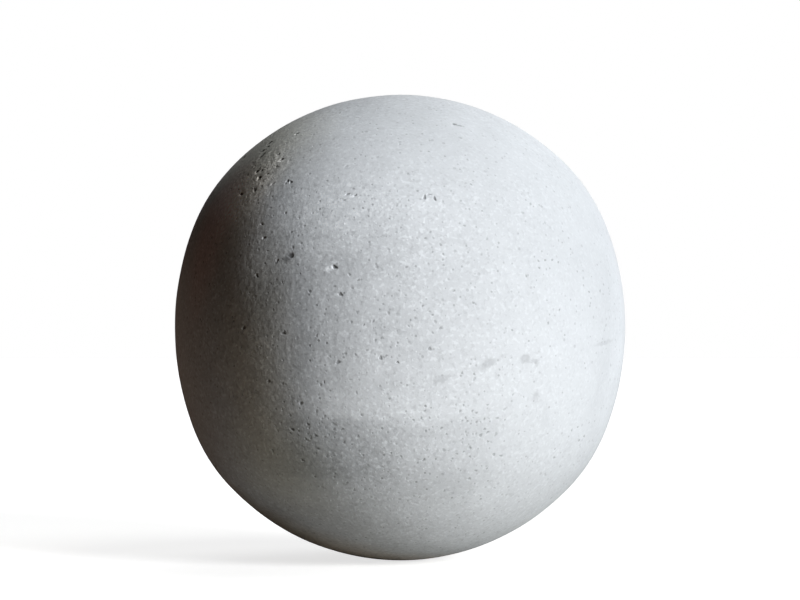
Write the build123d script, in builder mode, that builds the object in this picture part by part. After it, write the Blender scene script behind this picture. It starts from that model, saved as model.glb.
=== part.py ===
from build123d import *

import os
from math import asin, atan2, cos, degrees, hypot, radians, sin, sqrt

# A cast concrete ball: one solid, with no core, no insert and no opening.
# The origin is its centre, +Z runs up through its poles and -Y is its front.
# Both ends are round to one radius, and the middle is a little narrower.

# Driving dimensions, in millimetres and degrees
ball_height = 200.0  # from pole to pole, and the diameter of both round ends
ball_width = 193.6  # across the equator
shoulder_radius = 76.0  # of the arc that turns from the narrow middle to the round end
shoulder_top = 42.0  # latitude where that arc runs into the round end

# Blowholes, where air stood against the mould. Each is a shallow spherical cup, given by its
# longitude (0 is the front, positive to the right), its latitude, its width and its depth.
# Two close together are bubbles that ran into each other.
blowholes = [
    (-27.1, 17.0, 2.6, 1.2),
    (-28.5, 17.5, 2.2, 1.0),
    (-16.0, 14.0, 2.2, 1.1),
    (-33.5, 36.0, 2.0, 0.7),
    (-46.4, 37.5, 2.4, 0.9),
    (-49.5, 39.8, 2.0, 0.8),
    (-41.7, 43.2, 2.0, 0.7),
    (-45.5, 34.1, 2.0, 0.7),
    (-57.0, 47.2, 2.2, 0.8),
    (-58.5, 50.4, 2.4, 0.9),
    (-13.4, 31.0, 1.8, 0.7),
    (-12.2, 30.8, 1.6, 0.6),
    (24.2, 56.2, 2.2, 0.6),
    (25.8, 55.8, 2.0, 0.5),
    (-40.0, 0.0, 2.0, 0.8),
    (-33.0, -12.5, 2.0, 0.9),
    (-24.5, -17.8, 2.0, 0.8),
    (-23.8, -22.8, 2.0, 0.9),
    (-28.4, -24.0, 1.8, 0.8),
    (-4.6, -7.0, 1.8, 0.7),
]

# The outline is three arcs, each tangent to the next. The round end is centred on the origin,
# the shoulder on the line from there to its top, and the flank on the level of the equator,
# far enough back that it also touches the shoulder.
end_radius = ball_height / 2
equator_radius = ball_width / 2
shoulder_offset = end_radius - shoulder_radius
shoulder_x = shoulder_offset * cos(radians(shoulder_top))
shoulder_z = shoulder_offset * sin(radians(shoulder_top))
side_gap = equator_radius - shoulder_radius
flank_offset = (shoulder_offset**2 - side_gap**2) / (2 * (side_gap - shoulder_x))
flank_radius = equator_radius + flank_offset
flank_turn = asin(shoulder_z / (flank_radius - shoulder_radius))
flank_top_x = flank_radius * cos(flank_turn) - flank_offset
flank_top_z = flank_radius * sin(flank_turn)
flank_top = degrees(atan2(flank_top_z, flank_top_x))


def distance_to_arc(latitude, centre_x, centre_z, radius):
    """Distance from the origin, in the direction of a latitude, to an arc round a centre."""
    along = centre_x * cos(radians(latitude)) + centre_z * sin(radians(latitude))
    return along + sqrt(radius**2 - hypot(centre_x, centre_z) ** 2 + along**2)


def surface_radius(latitude):
    """Distance from the origin to the surface: the round end, the shoulder or the flank."""
    slope = abs(latitude)
    if slope >= shoulder_top:
        return end_radius
    if slope >= flank_top:
        return distance_to_arc(slope, shoulder_x, shoulder_z, shoulder_radius)
    return distance_to_arc(slope, -flank_offset, 0, flank_radius)


def point_above(longitude, latitude, lift):
    """Point at a height above the surface, on the line out from the origin."""
    radius = surface_radius(latitude) + lift
    level = radius * cos(radians(latitude))
    x = level * sin(radians(longitude))
    y = -level * cos(radians(longitude))
    return (x, y, radius * sin(radians(latitude)))


with BuildPart() as ball:
    with BuildSketch(Plane.XZ):
        with BuildLine():
            flank = JernArc((equator_radius, 0), (0, 1), flank_radius, degrees(flank_turn))
            JernArc(flank @ 1, flank % 1, shoulder_radius, shoulder_top - degrees(flank_turn))
            CenterArc((0, 0), end_radius, shoulder_top, 90 - shoulder_top)
            mirror(about=Plane.XZ)
            Line((0, end_radius), (0, -end_radius))
        make_face()
    revolve(axis=Axis.Z)
    # Each cup is a ball that stands above the surface and dips into it by the cup's depth
    for longitude, latitude, width, depth in blowholes:
        cup_radius = (width**2 / 4 + depth**2) / (2 * depth)
        cup_centre = point_above(longitude, latitude, cup_radius - depth)
        with Locations(Plane(origin=cup_centre, z_dir=cup_centre)):
            Sphere(cup_radius, mode=Mode.SUBTRACT)
ball.part.label = "ball"

os.makedirs("parts", exist_ok=True)
export_step(ball.part, "parts/ball.step")
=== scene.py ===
import bpy
import numpy as np
from mathutils import Matrix, Vector


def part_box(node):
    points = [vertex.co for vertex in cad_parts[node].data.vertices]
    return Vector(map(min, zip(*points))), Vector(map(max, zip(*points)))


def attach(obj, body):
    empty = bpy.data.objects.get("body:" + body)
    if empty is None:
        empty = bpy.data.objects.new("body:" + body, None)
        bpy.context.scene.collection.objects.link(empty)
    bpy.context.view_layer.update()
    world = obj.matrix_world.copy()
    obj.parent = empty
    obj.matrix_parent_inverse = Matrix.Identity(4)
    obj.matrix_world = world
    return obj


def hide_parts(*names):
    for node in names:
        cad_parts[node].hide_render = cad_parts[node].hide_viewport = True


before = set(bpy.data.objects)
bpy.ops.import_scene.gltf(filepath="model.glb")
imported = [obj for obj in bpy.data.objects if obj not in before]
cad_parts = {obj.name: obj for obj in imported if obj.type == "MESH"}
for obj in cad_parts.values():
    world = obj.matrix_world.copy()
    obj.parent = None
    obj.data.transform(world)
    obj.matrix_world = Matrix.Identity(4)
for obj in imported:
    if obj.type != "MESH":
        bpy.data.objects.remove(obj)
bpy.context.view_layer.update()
ballLow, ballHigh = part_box("ball")
mm = 0.001
print("frame loaded, ball box", tuple(ballLow), tuple(ballHigh))


# Unit vectors from longitude and latitude in degrees: longitude 0 is the front, and it grows to
# the right. X is cos latitude * sin longitude, Y is -cos latitude * cos longitude, Z is sin latitude.
def pointing(longitude, latitude):
    turn = np.radians(longitude)
    rise = np.radians(latitude)
    return np.stack([np.cos(rise) * np.sin(turn), -np.cos(rise) * np.cos(turn), np.sin(rise)], axis=-1)


shape = {
    "endRadius": (ballHigh.z - ballLow.z) / 2,  # both ends are round to this radius
    "equatorRadius": (ballHigh.x - ballLow.x) / 2,  # the middle is a little narrower
    "shoulderShare": 0.76,  # radius of the arc between them, as a share of the end's
    "shoulderTop": 42.0,  # latitude where the arc runs into the round end
    "gridLines": 52,  # squares along each side of the six grids that the ball starts from
    "swell": 0.05 * mm,  # how far the cast skin wanders in and out
    "swellLength": 24 * mm,  # from one swell to the next
    "swellWaves": 40,
}


# The outline is three tangent arcs. A ray from the origin meets a circle round a centre at
# along + sqrt(radius squared - distance to the centre squared + along squared), where along is
# the centre's part in the ray's direction. Past the shoulder's top the circle is the ball's own.
def outlineRadius(direction):
    endRadius = shape["endRadius"]
    shoulderRadius = shape["shoulderShare"] * endRadius
    top = np.radians(shape["shoulderTop"])
    offset = endRadius - shoulderRadius
    shoulderX, shoulderZ = offset * np.cos(top), offset * np.sin(top)
    sideGap = shape["equatorRadius"] - shoulderRadius
    flankOffset = (offset**2 - sideGap**2) / (2 * (sideGap - shoulderX))
    flankRadius = shape["equatorRadius"] + flankOffset
    flankTurn = np.arcsin(shoulderZ / (flankRadius - shoulderRadius))
    flankX = flankRadius * np.cos(flankTurn) - flankOffset
    flankTop = np.arctan2(flankRadius * np.sin(flankTurn), flankX)
    rise = np.abs(direction[:, 2])
    level = np.sqrt(1 - rise**2)
    slope = np.arctan2(rise, level)
    alongShoulder = shoulderX * level + shoulderZ * rise
    shoulder = alongShoulder + np.sqrt(shoulderRadius**2 - offset**2 + alongShoulder**2)
    alongFlank = -flankOffset * level
    flank = alongFlank + np.sqrt(flankRadius**2 - flankOffset**2 + alongFlank**2)
    return np.where(slope > top, endRadius, np.where(slope > flankTop, shoulder, flank))


# Six square grids wrapped round a unit sphere: both parameters run from -45 to 45 degrees, and a
# point is (1, tan u, tan v) turned to its side and brought to length 1. Shared borders are welded.
def wrappedGrids(lines):
    steps = np.tan(np.radians(np.linspace(-45, 45, lines + 1)))
    across, up = np.meshgrid(steps, steps, indexing="ij")
    side = np.stack([np.ones(across.shape), across, up], axis=-1).reshape(-1, 3)
    corner = (np.arange(lines)[:, None] * (lines + 1) + np.arange(lines)).ravel()
    square = np.stack([corner, corner + lines + 1, corner + lines + 2, corner + 1], axis=1)
    halves = np.concatenate([square[:, [0, 1, 2]], square[:, [0, 2, 3]]])
    points = []
    triangles = []
    for turn in range(3):
        for facing in (1, -1):
            triangles.append(halves[:, ::facing] + len(points) * len(side))
            points.append(np.roll(side, turn, axis=1) * facing)
    points = np.concatenate(points)
    points, welded = np.unique(np.round(points, 9), axis=0, return_inverse=True)
    points /= np.linalg.norm(points, axis=1)[:, None]
    return points, welded.reshape(-1)[np.concatenate(triangles)]


# One round of splitting on the unit sphere. An edge longer than the mean length wanted at its
# ends is halved, and so is the longest edge of each triangle it touches, so that no triangle
# turns thin. A triangle is cut from the middle of its longest edge to its apex, and each half
# again if needed.
def splitLongEdges(points, wanted, triangles, wantedAt):
    count = len(points)
    starts = triangles
    ends = np.roll(triangles, -1, axis=1)
    keys = np.minimum(starts, ends).astype(np.int64) * count + np.maximum(starts, ends)
    keys, which = np.unique(keys, return_inverse=True)
    which = which.reshape(-1, 3)
    first, second = keys // count, keys % count
    length = np.linalg.norm(points[first] - points[second], axis=1)
    split = length > (wanted[first] + wanted[second]) / 2
    longest = np.argmax(length[which], axis=1)
    longestEdge = np.take_along_axis(which, longest[:, None], axis=1)[:, 0]
    spread = True
    while spread:
        touched = split[which].any(axis=1) & ~split[longestEdge]
        split[longestEdge[touched]] = True
        spread = touched.any()
    middles = points[first[split]] + points[second[split]]
    middles /= np.linalg.norm(middles, axis=1)[:, None]
    number = np.cumsum(split) - 1 + count
    order = (longest[:, None] + np.arange(3)) % 3
    a, b, c = np.take_along_axis(triangles, order, axis=1).T
    edgeAB, edgeBC, edgeCA = np.take_along_axis(which, order, axis=1).T
    cut = split[edgeAB]
    cutBC = cut & split[edgeBC]
    cutCA = cut & split[edgeCA]
    midAB, midBC, midCA = number[edgeAB], number[edgeBC], number[edgeCA]
    wholeA = cut & ~split[edgeCA]
    wholeB = cut & ~split[edgeBC]
    made = [
        triangles[~cut],
        np.stack([a, midAB, c], axis=1)[wholeA],
        np.stack([a, midAB, midCA], axis=1)[cutCA],
        np.stack([midAB, c, midCA], axis=1)[cutCA],
        np.stack([midAB, b, c], axis=1)[wholeB],
        np.stack([midAB, b, midBC], axis=1)[cutBC],
        np.stack([midAB, midBC, c], axis=1)[cutBC],
    ]
    points = np.concatenate([points, middles])
    wanted = np.concatenate([wanted, wantedAt(middles)])
    return points, wanted, np.concatenate(made), bool(split.any())


# Blowholes on the front: longitude and latitude in degrees, width, height and depth in
# millimetres, and how far the oval is turned from level, anticlockwise, in degrees
frontHoles = [
    (-27.5, 17.0, 3.4, 2.4, 0.60, 35),
    (-15.8, 14.1, 2.1, 2.0, 1.10, 0),
    (-58.5, 50.4, 4.2, 2.0, 0.90, 30),
    (-56.4, 48.8, 2.4, 1.4, 0.60, 0),
    (-57.0, 47.2, 3.0, 1.8, 0.80, 0),
    (-54.2, 45.2, 3.2, 2.6, 0.90, 60),
    (-45.0, 45.2, 1.8, 1.4, 0.60, 0),
    (-41.7, 43.2, 2.6, 1.6, 0.70, 50),
    (-41.7, 40.9, 1.7, 1.1, 0.45, 0),
    (-49.5, 39.8, 2.4, 2.0, 0.80, 0),
    (-47.6, 39.9, 1.8, 1.6, 0.70, 30),
    (-46.4, 37.5, 2.9, 2.3, 1.00, -30),
    (-43.6, 38.6, 1.8, 1.3, 0.55, 0),
    (-45.5, 34.1, 2.4, 1.8, 0.70, -60),
    (-51.1, 33.2, 2.4, 1.8, 0.70, 0),
    (-34.1, 36.2, 1.7, 1.5, 0.60, 0),
    (-32.8, 35.8, 2.2, 1.3, 0.55, -60),
    (-39.2, 35.6, 2.2, 1.3, 0.45, 45),
    (-45.4, 53.2, 2.0, 1.5, 0.60, 0),
    (-14.2, 32.0, 2.2, 1.0, 0.60, 5),
    (-12.1, 31.7, 1.5, 1.3, 0.60, 20),
    (23.8, 56.4, 2.6, 1.7, 0.70, -30),
    (25.6, 55.8, 2.8, 1.6, 0.60, 0),
    (-40.0, 0.0, 2.0, 1.8, 0.80, 0),
    (-33.2, -12.6, 2.0, 1.5, 0.60, 40),
    (-24.8, -17.7, 2.3, 1.3, 0.55, 15),
    (-23.7, -22.8, 1.6, 1.4, 0.55, 90),
    (-28.4, -24.2, 1.8, 1.6, 0.60, 0),
    (-4.5, -7.0, 1.9, 1.8, 0.60, 0),
    (6.5, 31.1, 2.2, 1.4, 0.70, 80),
    (7.9, 31.9, 2.4, 1.1, 0.45, 0),
    (9.2, 30.8, 2.2, 1.4, 0.70, -80),
    (-36.4, 21.4, 1.7, 1.3, 0.60, 20),
    (-38.2, 24.9, 1.5, 1.2, 0.50, 0),
    (-31.2, 15.8, 1.7, 1.3, 0.60, 30),
    (-36.9, 12.4, 1.7, 1.4, 0.60, 0),
    (-36.3, -29.8, 2.4, 1.4, 0.50, -70),
    (-27.4, -32.1, 1.8, 1.3, 0.55, 0),
    (-14.6, -8.0, 2.0, 1.8, 0.55, 0),
    (-14.0, 7.7, 2.1, 1.9, 0.65, 0),
    (-0.6, -8.0, 1.3, 1.3, 0.60, 0),
    (-28.3, -1.3, 2.2, 1.5, 0.50, -20),
    (20.9, -25.5, 2.2, 1.4, 0.45, 40),
    (22.7, -24.8, 1.7, 1.1, 0.40, 40),
    (21.7, -24.0, 1.9, 1.0, 0.35, 20),
    (25.8, -30.5, 1.9, 1.5, 0.35, 0),
    (28.1, -30.9, 1.7, 1.3, 0.30, 0),
    (6.8, -4.9, 1.9, 1.6, 0.52, 30),
    (6.3, -31.6, 1.7, 1.1, 0.45, 40),
]

# Small round dots on the front, shallow and dark: longitude, latitude and width in millimetres
frontDots = [
    (9.9, 19.3, 1.4), (1.5, 14.0, 1.3), (7.5, 22.4, 1.1), (6.2, 20.9, 1.2), (7.8, 17.6, 1.2),
    (10.4, 17.1, 1.2), (2.2, 30.3, 1.2), (0.2, 23.4, 1.1), (16.4, 24.0, 1.3), (20.1, 34.8, 1.4),
    (-0.9, 11.9, 1.4), (-11.3, 1.3, 1.5), (-12.8, -6.0, 1.4), (-10.4, -6.2, 1.2), (-19.2, -13.3, 1.5),
    (-15.5, 9.6, 1.4), (-12.0, 12.3, 1.5), (-9.8, 11.0, 1.4), (-11.2, 9.1, 1.3), (-4.3, -2.4, 1.4),
    (-5.7, -2.9, 1.4), (-0.6, -3.5, 1.4), (-2.7, 3.4, 1.6), (-6.2, 1.5, 1.4), (2.4, 1.7, 1.2),
    (7.5, 2.9, 1.2), (9.3, -0.1, 1.5), (7.5, -1.2, 1.2), (-3.2, -6.5, 1.2), (-7.6, -5.2, 1.4),
    (5.2, 5.0, 1.2), (-3.9, 5.4, 1.2), (17.3, 5.7, 1.4), (12.7, 8.5, 1.3), (14.7, -10.5, 1.3),
    (17.7, -10.8, 1.4), (6.0, -18.2, 1.2), (6.0, -19.4, 1.3), (15.5, -18.1, 1.2), (21.7, -18.1, 1.2),
    (14.8, -19.5, 1.4), (17.9, -19.5, 1.3), (19.0, -20.0, 1.4), (16.3, -21.2, 1.4), (16.9, -22.0, 1.3),
    (19.3, -22.2, 1.5), (21.3, -21.5, 1.3), (5.2, -21.1, 1.3), (7.2, -21.1, 1.2), (3.3, -21.6, 1.2),
    (10.4, -23.6, 1.5), (11.8, -25.1, 1.2), (6.4, -24.3, 1.4), (23.2, -27.1, 1.4), (16.9, -29.6, 1.2),
    (15.1, -30.1, 1.3), (18.9, -30.9, 1.2), (0.3, -30.7, 1.4), (4.7, -32.4, 1.2), (21.6, -34.8, 1.4),
    (24.8, -34.3, 1.2), (7.9, -40.1, 1.3), (26.6, -43.7, 1.3), (6.0, -42.6, 1.2), (-32.9, -24.7, 1.3),
    (-22.1, -25.5, 1.4), (-23.4, -26.3, 1.4), (-24.9, -26.6, 1.4), (-14.5, -27.2, 1.5), (-18.9, -20.8, 1.3),
    (-9.5, -20.4, 1.4), (-14.6, -23.9, 1.6), (-22.0, -28.9, 1.3), (-41.7, -29.7, 1.2), (-48.0, -25.7, 1.2),
    (-41.4, -32.7, 1.2), (-25.1, -36.6, 1.3), (-19.1, -36.5, 1.3), (-26.2, 21.7, 1.3), (-24.9, 24.1, 1.3),
    (-29.3, -13.2, 1.4), (-21.7, 8.5, 1.5), (35.9, 15.8, 1.3), (38.1, 16.0, 1.3), (40.5, 16.1, 1.4),
    (42.5, 15.6, 1.3), (35.9, 14.1, 1.3), (58.8, 8.9, 1.6), (53.2, 8.6, 1.5), (31.7, 12.1, 1.3),
    (41.2, 4.2, 1.3), (37.5, 1.1, 1.3), (27.1, -0.6, 1.3), (51.5, -25.1, 1.4), (53.9, -24.4, 1.4),
    (59.2, -26.9, 1.6), (57.1, -27.9, 1.5), (48.0, -32.1, 1.5),
]

# Rough parts with many pinholes: longitude and latitude, spread in degrees each way, how many
roughParts = [
    (-50.0, 40.0, 4.5, 6.0, 30),
    (-24.0, -25.0, 7.0, 4.0, 22),
    (17.0, -24.0, 7.0, 5.0, 34),
    (-8.0, -3.0, 8.0, 7.0, 26),
    (-2.0, 20.0, 10.0, 6.0, 18),
]

skin = {
    "seed": 27,
    "pinholes": 360,  # over the whole ball, about one to every 3.5 square centimetres
    "pinholeWidth": 0.8 * mm,  # the least, and the rest grow from it
    "pinholeGrowth": 0.30 * mm,  # mean of what is added to the least width
    "pinholeLargest": 2.4 * mm,
    "pinholeDepth": (0.05, 0.14),  # least and most, as a share of the width
    "dotDepth": 0.08,  # as a share of the width
    "roundness": (0.75, 1.0),  # height of a dot or pinhole against its width, least and most
    "holeDepth": 0.5,  # how much of a blowhole's depth is left by the dust in it
    "fullShade": 0.85,  # a hole this deep in millimetres, or deeper, is as dark inside as can be
    "dotShade": 0.56,  # how dark a dot's inside is against that
    "pinholeShade": 0.4,
    "cupPower": 0.8,  # below 1, a hole has steep sides and a flatter bottom
    "raggedness": 0.17,  # how far a rim wanders from its oval
    "thirdWave": 0.7,  # strength of the rim's three-lobed wave against its two-lobed one
    "farthestRim": 1.5,  # no ragged rim gets further from the middle than this, in half widths
    "edgesAcross": 5,  # mesh edges across the narrow way of a hole
    "finestEdge": 0.27 * mm,
    "fineReach": 1.15,  # the fine edges end this far from a hole's middle, in half widths
    "spreading": 1.0,  # how fast edges grow with distance from there
}


# Every hole as arrays: where it points, half its width and height, depth, turn, how dark it is
# inside, and two phases of its ragged rim. The pinholes are spread evenly over the sphere from
# the seed, with more of them scattered about the middle of each rough part.
def gatherHoles():
    dice = np.random.default_rng(skin["seed"])
    placed = np.array(frontHoles)
    dots = np.array(frontDots)
    longitude = dice.uniform(-180, 180, skin["pinholes"])
    latitude = np.degrees(np.arcsin(dice.uniform(-1, 1, skin["pinholes"])))
    for east, north, eastSpread, northSpread, many in roughParts:
        longitude = np.append(longitude, dice.normal(east, eastSpread, many))
        latitude = np.append(latitude, dice.normal(north, northSpread, many))
    count = len(longitude)
    width = skin["pinholeWidth"] + dice.exponential(skin["pinholeGrowth"], count)
    width = np.minimum(width, skin["pinholeLargest"])
    longitude = np.concatenate([placed[:, 0], dots[:, 0], longitude])
    latitude = np.concatenate([placed[:, 1], dots[:, 1], latitude])
    smallCount = len(dots) + count
    dotWidth = dots[:, 2] * mm
    height = np.append(dotWidth, width) * dice.uniform(*skin["roundness"], smallCount)
    depth = width * dice.uniform(*skin["pinholeDepth"], count)
    turn = dice.uniform(-np.pi / 2, np.pi / 2, smallCount)
    phases = dice.uniform(0, 2 * np.pi, (len(longitude), 2))
    placedShade = np.clip(placed[:, 4] / skin["fullShade"], skin["dotShade"], 1)
    dotShade = np.full(len(dots), skin["dotShade"])
    pinholeShade = np.full(count, skin["pinholeShade"])
    return {
        "to": pointing(longitude, latitude),
        "halfWidth": np.concatenate([placed[:, 2] * mm, dotWidth, width]) / 2,
        "halfHeight": np.append(placed[:, 3] * mm, height) / 2,
        "depth": np.concatenate([placed[:, 4] * mm * skin["holeDepth"], dotWidth * skin["dotDepth"], depth]),
        "turn": np.append(np.radians(placed[:, 5]), turn),
        "shade": np.concatenate([placedShade, dotShade, pinholeShade]),
        "phases": phases,
    }


# Edge length wanted at each direction, on the unit sphere: short inside and at the rim of a
# hole, and growing with the distance from there. The hole that wants the shortest edge counts.
def wantedEdge(holes, directions):
    fine = np.maximum(2 * holes["halfHeight"] / skin["edgesAcross"], skin["finestEdge"])
    start = fine - skin["spreading"] * skin["fineReach"] * holes["halfWidth"]
    wanted = np.empty(len(directions))
    atOnce = 4000  # directions, so that the table of distances stays small
    for part in np.array_split(np.arange(len(directions)), len(directions) // atOnce + 1):
        away = np.sqrt(np.maximum(2 - 2 * directions[part] @ holes["to"].T, 0)) * shape["endRadius"]
        wanted[part] = np.maximum(start + skin["spreading"] * away, fine).min(axis=1)
    return wanted / shape["endRadius"]


# How deep the surface lies under the cast skin, and how dark it is in a hole. A hole is an oval
# cup: its depth times (1 - distance squared) to the cup's power. The distance from its middle is
# counted in half widths and stretched by two waves round the rim. The shade is the hole's own
# times (1 - distance to the fourth power).
def holeDepth(holes, directions):
    radius = shape["endRadius"]
    depth = np.zeros(len(directions))
    inside = np.zeros(len(directions))
    for number, to in enumerate(holes["to"]):
        reach = skin["farthestRim"] * holes["halfWidth"][number] / radius
        near = np.flatnonzero(directions @ to > np.cos(reach))
        east = np.cross((0.0, 0.0, 1.0), to)
        east /= np.linalg.norm(east)
        north = np.cross(to, east)
        x = directions[near] @ east * radius
        y = directions[near] @ north * radius
        turn = holes["turn"][number]
        along = (x * np.cos(turn) + y * np.sin(turn)) / holes["halfWidth"][number]
        over = (y * np.cos(turn) - x * np.sin(turn)) / holes["halfHeight"][number]
        angle = np.arctan2(over, along)
        first, second = holes["phases"][number]
        ragged = np.sin(2 * angle + first) + skin["thirdWave"] * np.sin(3 * angle + second)
        distance = np.hypot(along, over) * (1 + skin["raggedness"] * ragged)
        cup = np.maximum(1 - distance**2, 0) ** skin["cupPower"]
        depth[near] = np.maximum(depth[near], holes["depth"][number] * cup)
        shade = holes["shade"][number] * np.maximum(1 - distance**4, 0)
        inside[near] = np.maximum(inside[near], shade)
    return depth, inside


# Slow swells of the cast skin: the sum of plane waves in seeded directions, over the square root
# of how many there are
def skinSwell(directions):
    dice = np.random.default_rng(skin["seed"] + 1)
    waves = dice.normal(size=(shape["swellWaves"], 3))
    waves /= np.linalg.norm(waves, axis=1)[:, None]
    waves *= 2 * np.pi * shape["endRadius"] / shape["swellLength"]
    phases = dice.uniform(0, 2 * np.pi, shape["swellWaves"])
    total = np.sin(directions @ waves.T + phases).sum(axis=1)
    return shape["swell"] * total / np.sqrt(shape["swellWaves"])


# The ball: the grids are split until every edge is as short as the holes want it, and a point
# then lies at outline + swell - depth of its hole from the middle, in its own direction
def buildBall():
    holes = gatherHoles()
    points, triangles = wrappedGrids(shape["gridLines"])
    wanted = wantedEdge(holes, points)
    going = True
    while going:
        points, wanted, triangles, going = splitLongEdges(
            points, wanted, triangles, lambda middles: wantedEdge(holes, middles))
    depth, inside = holeDepth(holes, points)
    distance = outlineRadius(points) + skinSwell(points) - depth
    mesh = bpy.data.meshes.new("concreteBall")
    mesh.vertices.add(len(points))
    mesh.vertices.foreach_set("co", (points * distance[:, None]).astype(np.float32).ravel())
    mesh.loops.add(triangles.size)
    mesh.loops.foreach_set("vertex_index", triangles.astype(np.int32).ravel())
    mesh.polygons.add(len(triangles))
    mesh.polygons.foreach_set("loop_start", np.arange(0, triangles.size, 3, dtype=np.int32))
    mesh.update(calc_edges=True)
    mesh.validate()
    mesh.shade_smooth()
    mesh.attributes.new("hollow", "FLOAT", "POINT").data.foreach_set("value", inside.astype(np.float32))
    print("ball mesh", len(points), "points", len(triangles), "triangles", len(holes["to"]), "holes")
    piece = bpy.data.objects.new("concreteBall", mesh)
    bpy.context.collection.objects.link(piece)
    return piece


# Linear colour from an sRGB hex value
def linearColour(hexValue):
    values = np.array([int(hexValue[start:start + 2], 16) for start in (0, 2, 4)]) / 255
    linear = np.where(values <= 0.04045, values / 12.92, ((values + 0.055) / 1.055) ** 2.4)
    return (*linear.tolist(), 1.0)


# Adds a node with its settings, and its inputs by name or number as values or links
def addNode(tree, kind, settings=None, inputs=None):
    node = tree.nodes.new(kind)
    for name, value in (settings or {}).items():
        setattr(node, name, value)
    for name, value in (inputs or {}).items():
        if isinstance(value, bpy.types.NodeSocket):
            tree.links.new(value, node.inputs[name])
        else:
            node.inputs[name].default_value = value
    return node


# Cast concrete. A tone is what the base colour is multiplied by, and every size is in millimetres.
concrete = {
    "base": "DDE1E4",  # pale grey cement, a little blue
    "roughness": 0.9,  # a dry, dusty skin with no shine
    "hollowShade": 0.62,  # how much darker the inside of a full-shade hole is
    "patchDepth": 2.5,  # how deep a patch reaches into the ball, against the larger of its half sizes
    "warpSize": 9.0,  # the noise that bends the edges of soft patches
    "warp": 7.0,  # how far such an edge wanders
    "fineWarpSize": 1.8,  # the same for belts and stains
    "fineWarp": 2.0,
    "fleckWarpSize": 1.6,  # and for flecks, so that no two have one shape
    "fleckWarp": 2.2,
    "cloudSize": 22.0,  # the largest shades of the cement
    "clouds": 0.03,  # their change of tone either way
    "blotchSize": 11.0,
    "blotch": 0.025,
    "mottleSize": 5.6,
    "mottle": 0.05,
    "grainSize": 1.3,  # the sand, drawn coarser than its 0.4 to 0.9 mm so that it can be seen
    "grain": 0.09,
    "reliefSize": 2.0,  # the coarsest bumps of the skin, with finer ones on them
    "reliefHeight": 0.15,
}

# Flecks: size of their noise in millimetres, the noise values between which a fleck fades in, and
# its change of tone
flecks = {
    "pale": (1.3, 0.60, 0.70, 0.15),  # lime and pale sand on the skin
    "dark": (1.6, 0.39, 0.29, -0.13),  # dust in the small hollows between sand grains
    "smudge": (3.0, 0.42, 0.28, -0.05),  # damp-looking spots
}

# Dots of the skin: distance between the places where one may stand, radius and softness in
# millimetres, the share of places left empty, tone, height in millimetres, and whether they fade
# where the skin is smooth
dots = {
    "soft": (4.4, 0.65, 0.28, 0.20, 0.84, -0.05, False),  # shallow air dots
    "pin": (3.0, 0.45, 0.14, 0.10, 0.76, -0.06, False),  # the finest pinholes
    "dark": (3.5, 0.50, 0.16, 0.10, 0.62, -0.08, True),  # pinholes of the coarse parts
    "pale": (3.1, 0.36, 0.12, 0.20, 1.18, 0.06, True),  # pale sand grains
    "fine": (1.9, 0.30, 0.14, 0.35, 1.07, 0.03, True),  # smaller and fainter ones
}

# Soft patches, some of them tone that the cement left and some painted light and shade, as marked:
# longitude, latitude, half width and half height in millimetres, turn in degrees, softness of the
# edge as a share of the size, and tone
tonePatchesAndPaintedLight = [
    (-31.0, 5.0, 12.0, 20.0, 0, 0.8, 0.72),  # dark, grainy, on the shaded side
    (-22.5, 0.5, 5.0, 17.0, 0, 0.8, 0.85),  # its core
    (-28.0, -12.0, 12.0, 16.0, 0, 0.8, 0.88),
    (-27.0, -25.0, 7.0, 9.0, 0, 0.8, 0.92),
    (-15.0, 40.0, 34.0, 22.0, 0, 0.6, 1.08),  # pale, over the left of the top: painted light from above
    (-19.0, 24.5, 13.0, 9.0, 0, 0.8, 1.07),
    (-17.0, 29.0, 30.0, 20.0, 0, 0.8, 1.12),
    (-5.0, -10.0, 14.0, 6.0, 0, 0.8, 1.08),  # pale clouds about the middle
    (12.0, -11.5, 14.0, 5.0, 0, 0.8, 1.06),
    (0.0, 8.0, 14.0, 7.0, 0, 0.8, 1.07),
    (-3.0, -41.0, 28.0, 10.0, 0, 0.8, 0.91),  # greyer, low down
    (0.0, -52.0, 24.0, 8.0, 0, 0.8, 0.95),
    (10.0, 27.0, 13.0, 12.0, 0, 0.8, 1.06),
    (-3.0, -4.0, 10.0, 5.0, 0, 0.8, 1.05),
    (-14.0, -16.0, 9.0, 5.0, 0, 0.8, 1.06),
    (-36.5, 9.0, 7.0, 10.0, 0, 0.8, 0.86),
    (-24.0, 0.0, 5.0, 9.0, 0, 0.8, 1.08),
    (2.5, -16.5, 6.0, 7.0, 0, 0.8, 1.06),
    (-8.0, -11.0, 5.0, 5.0, 0, 0.8, 1.07),
    (-51.0, 27.0, 7.0, 9.0, 0, 0.8, 1.12),
    (-8.0, -23.0, 6.0, 5.0, 0, 0.8, 1.09),
    (-27.0, -18.0, 9.0, 6.0, 0, 0.8, 0.95),
    (-50.0, 33.0, 14.0, 10.0, 0, 0.8, 1.25),  # pale round the chipped part
    (75.0, -5.0, 12.0, 40.0, 0, 0.8, 1.12),  # pale on the right side
    (6.0, 16.0, 12.0, 6.0, 0, 0.8, 1.05),
    (-130.0, -65.0, 60.0, 60.0, 0, 0.2, 0.48),  # painted shade on the underside
    (-38.0, 56.0, 30.0, 15.0, 0, 0.8, 1.12),
    (-3.0, -19.5, 27.0, 7.5, 0, 0.6, 1.11),  # pale and smooth, over the edge of the painted shadow belt
    (58.0, 22.0, 52.0, 42.0, 0, 0.7, 0.92),  # painted shade: greyer on the side to the light, where the light is brightest
    (-12.0, 15.0, 14.0, 5.0, 0, 0.6, 0.95),
    # painted shade towards the bottom of the left side
    (-59.0, -55.0, 24.0, 16.0, 0, 0.8, 0.74),
]
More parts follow.
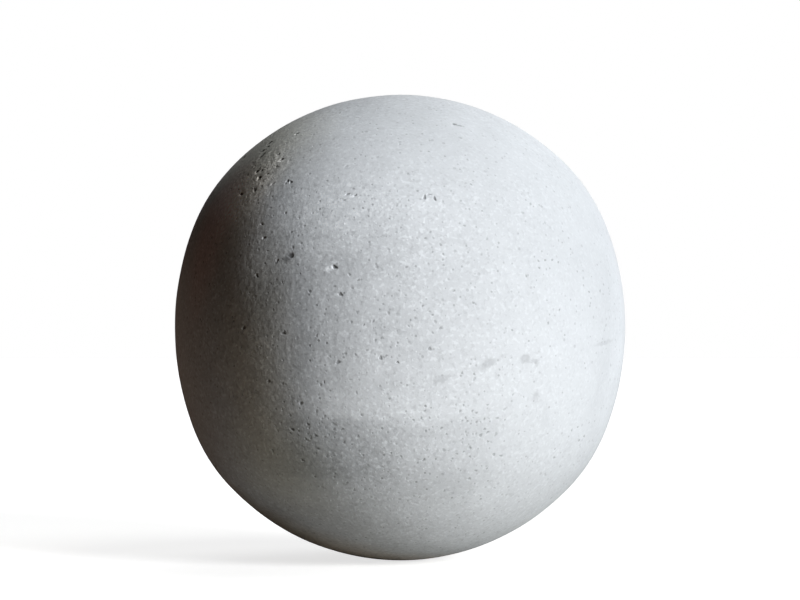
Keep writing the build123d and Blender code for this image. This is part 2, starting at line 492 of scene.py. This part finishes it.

# Level belts of painted shadow, darker where the light is cut off below a level edge: longitude,
# latitude, half width and half height in millimetres, softness of the top, the bottom and the two ends as a
# share of the size, and tone
paintedShadowBelts = [
    (-17.0, -29.0, 22.0, 12.5, 0.16, 0.5, 0.6, 0.83),  # sharp at the top
    (3.0, -30.0, 35.0, 14.0, 0.25, 0.8, 0.6, 0.93),
    (-26.0, -32.5, 15.0, 6.5, 0.80, 0.10, 0.5, 0.89),  # sharp at the bottom
]

# Stains with ragged edges: longitude, latitude, half width and half height, turn, softness, tone
stains = [
    (31.0, -7.3, 2.1, 1.9, 0, 0.35, 0.82),  # a bird-shaped one, its wing and tail
    (33.6, -7.9, 2.4, 0.8, 0, 0.4, 0.84),
    (34.3, -8.5, 0.8, 1.3, 0, 0.5, 0.88),
    (21.2, -8.3, 3.3, 1.7, 20, 0.5, 0.80),  # the row of stains to the left of it
    (24.6, -6.9, 2.6, 0.8, 30, 0.6, 0.92),
    (18.4, -9.8, 3.4, 1.3, 5, 0.7, 0.90),
    (9.5, -12.0, 3.0, 1.4, 0, 0.5, 0.80),
    (12.0, -11.2, 2.6, 0.7, 10, 0.6, 0.92),
    (35.3, -16.2, 1.1, 2.2, 0, 0.6, 0.84),
    (60.5, -3.7, 8.0, 0.8, 7, 0.6, 0.88),  # a thin line near the right edge
    (-17.1, 13.7, 1.9, 1.0, 8, 0.35, 1.5),  # pale scar beside the round blowhole, with painted light on its lit wall
    (-28.3, 16.4, 2.6, 1.6, 30, 0.5, 0.55),  # dirt and painted shade round the largest pit
    (-13.2, 31.4, 1.3, 0.9, 0, 0.5, 1.15),  # pale lip between two holes
    (-6.9, -31.6, 1.6, 1.0, 20, 0.5, 1.15),  # pale crumbs on the painted shadow belt
    (-6.2, -33.4, 1.8, 0.8, -20, 0.5, 1.15),
    (-4.3, -32.8, 1.2, 1.0, 0, 0.5, 1.12),
    (-49.2, 39.0, 1.3, 0.9, 0, 0.5, 1.7),  # chips between the holes at the top left
    (-46.8, 37.6, 1.1, 0.9, 0, 0.5, 1.7),
    (-44.6, 43.9, 1.2, 0.8, 0, 0.5, 1.5),
    (-42.0, 42.9, 1.0, 0.8, 0, 0.5, 1.5),
    (-43.0, 36.1, 1.0, 0.8, 0, 0.5, 1.5),
    (-51.6, 37.6, 1.0, 0.8, 0, 0.5, 1.7),
    (-25.0, -40.0, 4.0, 2.5, 0, 0.8, 0.90),
]

# Painted warm light on the shaded side, and warm painted shade underneath: as a soft patch, with the share
# of each linear colour left
paintedWarmTints = [
    (-38.0, -5.0, 15.0, 36.0, 0, 0.8, (1.04, 0.98, 0.87)),
    (-48.0, 30.0, 12.0, 22.0, 0, 0.8, (1.06, 0.98, 0.88)),
    (-60.0, 22.0, 12.0, 26.0, 0, 0.8, (1.20, 0.97, 0.94)),
    (-38.0, -34.0, 20.0, 20.0, 0, 0.8, (1.02, 1.00, 0.92)),
    (-130.0, -65.0, 60.0, 60.0, 0, 0.2, (1.16, 0.98, 0.80)),  # warm painted shade underneath
    (-66.0, 48.0, 30.0, 24.0, 0, 0.8, (1.04, 1.0, 0.88)),
]

# Parts where the skin is smoother or coarser, laid out as the soft patches, with the grain's
# strength there
grainParts = [
    (10.0, 52.0, 48.0, 28.0, 0, 0.5, 0.55),
    (68.0, 5.0, 60.0, 90.0, 0, 0.6, 0.25),  # smooth on the right
    (-35.0, 5.0, 30.0, 55.0, 0, 0.7, 1.4),
    (22.0, -2.0, 28.0, 70.0, 0, 0.8, 0.70),
    (-38.0, -36.0, 18.0, 18.0, 0, 0.8, 0.75),
    (-10.0, -31.0, 34.0, 12.0, 0, 0.8, 1.4),
    (-14.0, -14.0, 16.0, 9.0, 0, 0.8, 0.75),
    (20.0, -23.0, 24.0, 16.0, 0, 0.8, 0.85),
    (-49.0, 40.0, 12.0, 14.0, 0, 0.8, 2.0),  # the chipped part
]


# Middle of a patch on the ball's outline, in millimetres
def patchMiddle(longitude, latitude):
    direction = pointing(longitude, latitude)
    return Vector(direction) * outlineRadius(direction[None, :])[0] / mm


# Where a point lies in a patch, in half sizes from its middle. The patch's own X runs to the
# east, its Y inward and its Z to the north, and the turn is anticlockwise as seen from outside.
def patchPlace(tree, place, longitude, latitude, halfWidth, halfHeight, turn):
    tilted = Matrix.Rotation(np.radians(longitude), 3, "Z") @ Matrix.Rotation(-np.radians(latitude), 3, "X")
    turned = tilted @ Matrix.Rotation(-np.radians(turn), 3, "Y")
    deep = concrete["patchDepth"] * max(halfWidth, halfHeight)
    return addNode(tree, "ShaderNodeMapping", {"vector_type": "TEXTURE"}, {
        "Vector": place, "Location": patchMiddle(longitude, latitude),
        "Rotation": turned.to_euler(), "Scale": (halfWidth, deep, halfHeight)}).outputs[0]


# Smooth step: the start value up to one limit, the end value from the other, an S curve between
def smoothStep(tree, value, start, end, startValue, endValue):
    return addNode(tree, "ShaderNodeMapRange", {"interpolation_type": "SMOOTHSTEP"}, {
        "Value": value, "From Min": start, "From Max": end, "To Min": startValue,
        "To Max": endValue}).outputs[0]


# Product of two values
def times(tree, first, second):
    return addNode(tree, "ShaderNodeMath", {"operation": "MULTIPLY"}, {0: first, 1: second}).outputs[0]


# A value multiplied by another, plus a third
def timesPlus(tree, value, factor, added):
    return addNode(tree, "ShaderNodeMath", {"operation": "MULTIPLY_ADD"}, {
        0: value, 1: factor, 2: added}).outputs[0]


# A vector or colour multiplied by one value
def scaledBy(tree, vector, factor):
    return addNode(tree, "ShaderNodeVectorMath", {"operation": "SCALE"}, {
        0: vector, "Scale": factor}).outputs[0]


# Mix of two vectors or colours by a value: the first at 0, the second at 1. The node keeps its
# vector inputs under the numbers 4 and 5.
def mixedBy(tree, value, first, second):
    return addNode(tree, "ShaderNodeMix", {"data_type": "VECTOR"}, {
        "Factor": value, 4: first, 5: second}).outputs[1]


# Tone of an oval patch: its own inside, 1 outside. The gradient is 1 in the middle of the oval
# and falls to 0 where the soft edge ends.
def ovalTone(tree, place, patch):
    longitude, latitude, halfWidth, halfHeight, turn, softness, tone = patch
    reach = 1 + softness
    local = patchPlace(tree, place, longitude, latitude, reach * halfWidth, reach * halfHeight, turn)
    inside = addNode(tree, "ShaderNodeTexGradient", {"gradient_type": "SPHERICAL"}, {"Vector": local})
    return smoothStep(tree, inside.outputs["Fac"], 2 * softness / reach, 0.0, tone, 1.0)


# Tone of a belt of painted shadow: the product of four edges. It lies level, so its height is counted
# along Z and its width across the direction it faces. It fades out over the far half of its depth, so
# that it doesn't come out at the back.
def paintedShadowTone(tree, place, shadowBelt):
    longitude, latitude, halfWidth, halfHeight, topSoft, bottomSoft, endSoft, tone = shadowBelt
    local = addNode(tree, "ShaderNodeMapping", {"vector_type": "TEXTURE"}, {
        "Vector": place, "Location": patchMiddle(longitude, latitude),
        "Rotation": (0, 0, np.radians(longitude)),
        "Scale": (halfWidth, concrete["patchDepth"] * halfWidth, halfHeight)}).outputs[0]
    apart = addNode(tree, "ShaderNodeSeparateXYZ", inputs={0: local})
    top = smoothStep(tree, apart.outputs["Z"], 1 + topSoft, 1 - topSoft, 0.0, 1.0)
    bottom = smoothStep(tree, apart.outputs["Z"], -1 - bottomSoft, -1 + bottomSoft, 0.0, 1.0)
    sideways = addNode(tree, "ShaderNodeMath", {"operation": "ABSOLUTE"}, {0: apart.outputs["X"]})
    ends = smoothStep(tree, sideways.outputs[0], 1 + endSoft, 1 - endSoft, 0.0, 1.0)
    front = smoothStep(tree, apart.outputs["Y"], 1.0, 0.5, 0.0, 1.0)
    inside = times(tree, times(tree, top, bottom), times(tree, ends, front))
    return smoothStep(tree, inside, 0.0, 1.0, 1.0, tone)


# Noise of a size in millimetres. Detail counts the finer octaves laid over it, and roughness is
# the strength of each against the one before.
def addNoise(tree, place, size, detail=2.0, roughness=0.5):
    return addNode(tree, "ShaderNodeTexNoise", inputs={
        "Vector": place, "Scale": 1 / size, "Detail": detail, "Roughness": roughness})


# A place moved by noise: place + amount * (noise - 0.5) on each axis
def warped(tree, place, size, amount):
    noise = addNoise(tree, place, size, 3.0).outputs["Color"]
    centred = addNode(tree, "ShaderNodeVectorMath", {"operation": "SUBTRACT"}, {
        0: noise, 1: (0.5, 0.5, 0.5)}).outputs[0]
    moved = scaledBy(tree, centred, amount)
    return addNode(tree, "ShaderNodeVectorMath", {"operation": "ADD"}, {0: place, 1: moved}).outputs[0]


# Tone that swings round 1 with a noise: 1 + amount * (2 * noise - 1)
def swing(tree, noise, amount):
    return timesPlus(tree, timesPlus(tree, noise, 2.0, -1.0), amount, 1.0)


# Dots, each round the nearest of scattered points: 1 in the middle and 0 outside, and fainter or
# missing where the point's own random value is low
def skinDots(tree, place, spacing, radius, soft, empty):
    cells = addNode(tree, "ShaderNodeTexVoronoi", inputs={"Vector": place, "Scale": 1 / spacing})
    rim, core = (radius + soft) / spacing, (radius - soft) / spacing
    dot = smoothStep(tree, cells.outputs["Distance"], rim, core, 0.0, 1.0)
    chance = addNode(tree, "ShaderNodeSeparateColor", inputs={0: cells.outputs["Color"]}).outputs[0]
    return times(tree, dot, smoothStep(tree, chance, empty, 1.0, 0.0, 1.0))


# Cast concrete: matt and pale, clouded by the cement, stained, with sand that shows as pale and
# dark flecks, and dust and painted shade in its holes. Some patches hold painted light and shade, the
# level belts are painted shadow and the shaded side has a painted warm tint. The skin is bumpy where
# it is coarse, its dark dots sink in and its pale ones stand out.
def makeConcrete():
    material = bpy.data.materials.new("castConcrete")
    material.use_nodes = True
    tree = material.node_tree
    shader = tree.nodes["Principled BSDF"]
    shader.inputs["Roughness"].default_value = concrete["roughness"]
    place = scaledBy(tree, addNode(tree, "ShaderNodeTexCoord").outputs["Object"], 1 / mm)
    softPlace = warped(tree, place, concrete["warpSize"], concrete["warp"])
    raggedPlace = warped(tree, place, concrete["fineWarpSize"], concrete["fineWarp"])
    # Each tone is multiplied in as soon as it is made: the renderer can hold only so many at once
    tone = ovalTone(tree, softPlace, tonePatchesAndPaintedLight[0])
    for patch in tonePatchesAndPaintedLight[1:]:
        tone = times(tree, tone, ovalTone(tree, softPlace, patch))
    # Painted shadow below a level edge, low on the front
    for shadowBelt in paintedShadowBelts:
        tone = times(tree, tone, paintedShadowTone(tree, raggedPlace, shadowBelt))
    for stain in stains:
        tone = times(tree, tone, ovalTone(tree, raggedPlace, stain))
    clouds = addNoise(tree, place, concrete["cloudSize"]).outputs["Fac"]
    blotch = addNoise(tree, softPlace, concrete["blotchSize"], 1.0).outputs["Fac"]
    mottle = addNoise(tree, place, concrete["mottleSize"], 0.0).outputs["Fac"]
    grain = addNoise(tree, place, concrete["grainSize"], 1.0, 1.0).outputs["Fac"]
    coarse = ovalTone(tree, softPlace, grainParts[0])
    for part in grainParts[1:]:
        coarse = times(tree, coarse, ovalTone(tree, softPlace, part))
    tone = times(tree, tone, swing(tree, clouds, concrete["clouds"]))
    tone = times(tree, tone, swing(tree, blotch, concrete["blotch"]))
    tone = times(tree, tone, swing(tree, mottle, times(tree, coarse, concrete["mottle"])))
    tone = times(tree, tone, swing(tree, grain, times(tree, coarse, concrete["grain"])))
    fleckPlace = warped(tree, place, concrete["fleckWarpSize"], concrete["fleckWarp"])
    for size, start, end, change in flecks.values():
        noise = addNoise(tree, fleckPlace, size, 0.0).outputs["Fac"]
        fleck = times(tree, smoothStep(tree, noise, start, end, 0.0, 1.0), coarse)
        tone = times(tree, tone, timesPlus(tree, fleck, change, 1.0))
    dotHeights = []
    for spacing, radius, soft, empty, dotTone, dotHeight, followsGrain in dots.values():
        dot = skinDots(tree, place, spacing, radius, soft, empty)
        if followsGrain:
            dot = times(tree, dot, coarse)
        tone = times(tree, tone, smoothStep(tree, dot, 0.0, 1.0, 1.0, dotTone))
        dotHeights.append(times(tree, dot, dotHeight))
    # The inside of a hole is darkened: dust, and painted shade in place of the shade of a deeper hole
    hollow = addNode(tree, "ShaderNodeAttribute", {"attribute_name": "hollow"}).outputs["Fac"]
    tone = times(tree, tone, smoothStep(tree, hollow, 0.0, 1.0, 1.0, 1 - concrete["hollowShade"]))
    tinted = linearColour(concrete["base"])[:3]
    for *where, tint in paintedWarmTints:
        outside = ovalTone(tree, softPlace, (*where, 0.0))  # 0 in the patch and 1 outside
        tinted = addNode(tree, "ShaderNodeVectorMath", {"operation": "MULTIPLY"}, {
            0: tinted, 1: mixedBy(tree, outside, tint, (1.0, 1.0, 1.0))}).outputs[0]
    tree.links.new(scaledBy(tree, tinted, tone), shader.inputs["Base Color"])
    relief = addNoise(tree, place, concrete["reliefSize"], 3.0).outputs["Fac"]
    height = times(tree, times(tree, relief, concrete["reliefHeight"]), coarse)
    for added in dotHeights:
        height = addNode(tree, "ShaderNodeMath", {"operation": "ADD"}, {0: height, 1: added}).outputs[0]
    bump = addNode(tree, "ShaderNodeBump", inputs={"Height": height, "Distance": mm, "Strength": 1.0})
    tree.links.new(bump.outputs[0], shader.inputs["Normal"])
    return material


studio = {
    "floorSize": 12.0,
    "floorColour": "E0E0DE",
    "floorWhite": 0.72,  # glow that only the camera sees, so that the lit floor is white
    "bounceColour": "B7B5AF",  # what the floor gives back near the ball
    "bounceReach": 0.15,  # metres from its middle, which lies in front of the ball and to the right
    "bounceEdge": 0.2,  # softness of its edge, as a share of the reach
    "bounceMiddle": (0.06, -0.08, 0.0),
    "skyColour": "FFFFFF",  # only the camera sees it
    "suns": {  # longitude and latitude that the light comes from, strength, softness in degrees, colour
        "key": (52, 16, 3.3, 16, "FAFCFF"),
        "side": (77, 57, 0.62, 30, "FFFFFF"),
        "back": (155, 45, 0.5, 30, "FAFCFF"),
        "rim": (170, 30, 0.52, 30, "FAFCFF"),
    },
    # Round cards that give light back: longitude and metres away from the ball's middle, metres
    # above it, radius in metres, watts, colour
    "cards": {
        "lowCard": (20, 0.22, -0.08, 0.06, 0.038, "FFFFFF"),  # white, low in front
        "farCard": (10, 0.40, -0.08, 0.06, 0.060, "FFE6CC"),
        "warmCard": (-85, 0.25, -0.06, 0.06, 0.0205, "FFDCC4"),  # beside the shaded side
    },
    "lens": 100.0,  # millimetres
    "highToWide": 0.75,  # the picture's height as a share of its width
    "heightShare": 0.7758,  # of the picture's height that the ball takes
    "lowering": 0.046,  # how far its middle lies under the picture's, as a share of the height
}


# A matte floor that looks white to the camera. To the ball it gives back light only from a soft
# round part near it, grey and a little warm.
def makeFloor():
    half = studio["floorSize"] / 2
    corners = [(-half, -half, 0), (half, -half, 0), (half, half, 0), (-half, half, 0)]
    mesh = bpy.data.meshes.new("floor")
    mesh.from_pydata(corners, [], [(0, 1, 2, 3)])
    floor = bpy.data.objects.new("floor", mesh)
    floor.location.z = ballLow.z
    bpy.context.collection.objects.link(floor)
    material = bpy.data.materials.new("matteFloor")
    material.use_nodes = True
    tree = material.node_tree
    tree.nodes.clear()
    path = addNode(tree, "ShaderNodeLightPath")
    place = addNode(tree, "ShaderNodeTexCoord").outputs["Object"]
    away = addNode(tree, "ShaderNodeVectorMath", {"operation": "DISTANCE"}, {
        0: place, 1: studio["bounceMiddle"]}).outputs["Value"]
    farEnd = (1 + studio["bounceEdge"]) * studio["bounceReach"]
    nearEnd = (1 - studio["bounceEdge"]) * studio["bounceReach"]
    near = smoothStep(tree, away, farEnd, nearEnd, 0.0, 1.0)
    bounce = scaledBy(tree, linearColour(studio["bounceColour"])[:3], near)
    seen = path.outputs["Is Camera Ray"]
    colour = mixedBy(tree, seen, bounce, linearColour(studio["floorColour"])[:3])
    paint = addNode(tree, "ShaderNodeBsdfDiffuse", inputs={"Color": colour})
    glow = times(tree, seen, studio["floorWhite"])
    white = addNode(tree, "ShaderNodeEmission", inputs={"Strength": glow})
    both = addNode(tree, "ShaderNodeAddShader", inputs={0: paint.outputs[0], 1: white.outputs[0]})
    addNode(tree, "ShaderNodeOutputMaterial", inputs={"Surface": both.outputs[0]})
    mesh.materials.append(material)


# A lamp at a place, shining at the origin
def hangLamp(name, kind, colour, energy, place):
    lamp = bpy.data.lights.new(name, kind)
    lamp.color = linearColour(colour)[:3]
    lamp.energy = energy
    holder = bpy.data.objects.new(name, lamp)
    holder.location = place
    holder.rotation_mode = "QUATERNION"
    holder.rotation_quaternion = place.to_track_quat("Z", "Y")
    bpy.context.collection.objects.link(holder)
    return holder


# Wide soft suns from the right and from behind, and cards that the camera doesn't see
def makeLights():
    for name, (longitude, latitude, strength, softness, colour) in studio["suns"].items():
        sun = hangLamp(name, "SUN", colour, strength, Vector(pointing(longitude, latitude)))
        sun.data.angle = np.radians(softness)
    for name, (longitude, away, height, radius, watts, colour) in studio["cards"].items():
        place = Vector(pointing(longitude, 0)) * away + Vector((0, 0, height))
        card = hangLamp(name, "AREA", colour, watts, place)
        card.data.shape = "DISK"
        card.data.size = 2 * radius
        card.visible_camera = False


# A white sky for the camera alone, so that it gives no light
def makeSky():
    world = bpy.data.worlds.new("studioWorld")
    world.use_nodes = True
    bpy.context.scene.world = world
    tree = world.node_tree
    tree.nodes.clear()
    path = addNode(tree, "ShaderNodeLightPath")
    sky = addNode(tree, "ShaderNodeBackground", inputs={
        "Color": linearColour(studio["skyColour"]), "Strength": path.outputs["Is Camera Ray"]})
    addNode(tree, "ShaderNodeOutputWorld", inputs={"Surface": sky.outputs[0]})


# The camera is level with the ball's middle. Its distance is where a ball of this radius fills
# its share of the picture: a line of sight that touches the ball has slope
# radius / sqrt(distance squared - radius squared).
def makeCamera():
    camera = bpy.data.cameras.new("camera")
    camera.lens = studio["lens"]
    camera.shift_y = studio["lowering"] * studio["highToWide"]
    radius = (ballHigh.z - ballLow.z) / 2
    halfHeight = studio["heightShare"] * studio["highToWide"] * camera.sensor_width / 2
    slope = halfHeight / camera.lens
    distance = radius * np.sqrt(1 + 1 / slope**2)
    middle = (ballLow + ballHigh) / 2
    holder = bpy.data.objects.new("camera", camera)
    holder.location = middle + Vector((0, -distance, 0))
    holder.rotation_euler = (np.pi / 2, 0, 0)
    bpy.context.collection.objects.link(holder)
    bpy.context.scene.camera = holder


makeCamera()
makeFloor()
makeLights()
makeSky()
bpy.context.scene.view_settings.view_transform = "Standard"
print("studio ready")

ball = buildBall()
ball.data.materials.append(makeConcrete())
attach(ball, "root")
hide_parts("ball")
print("ball ready")
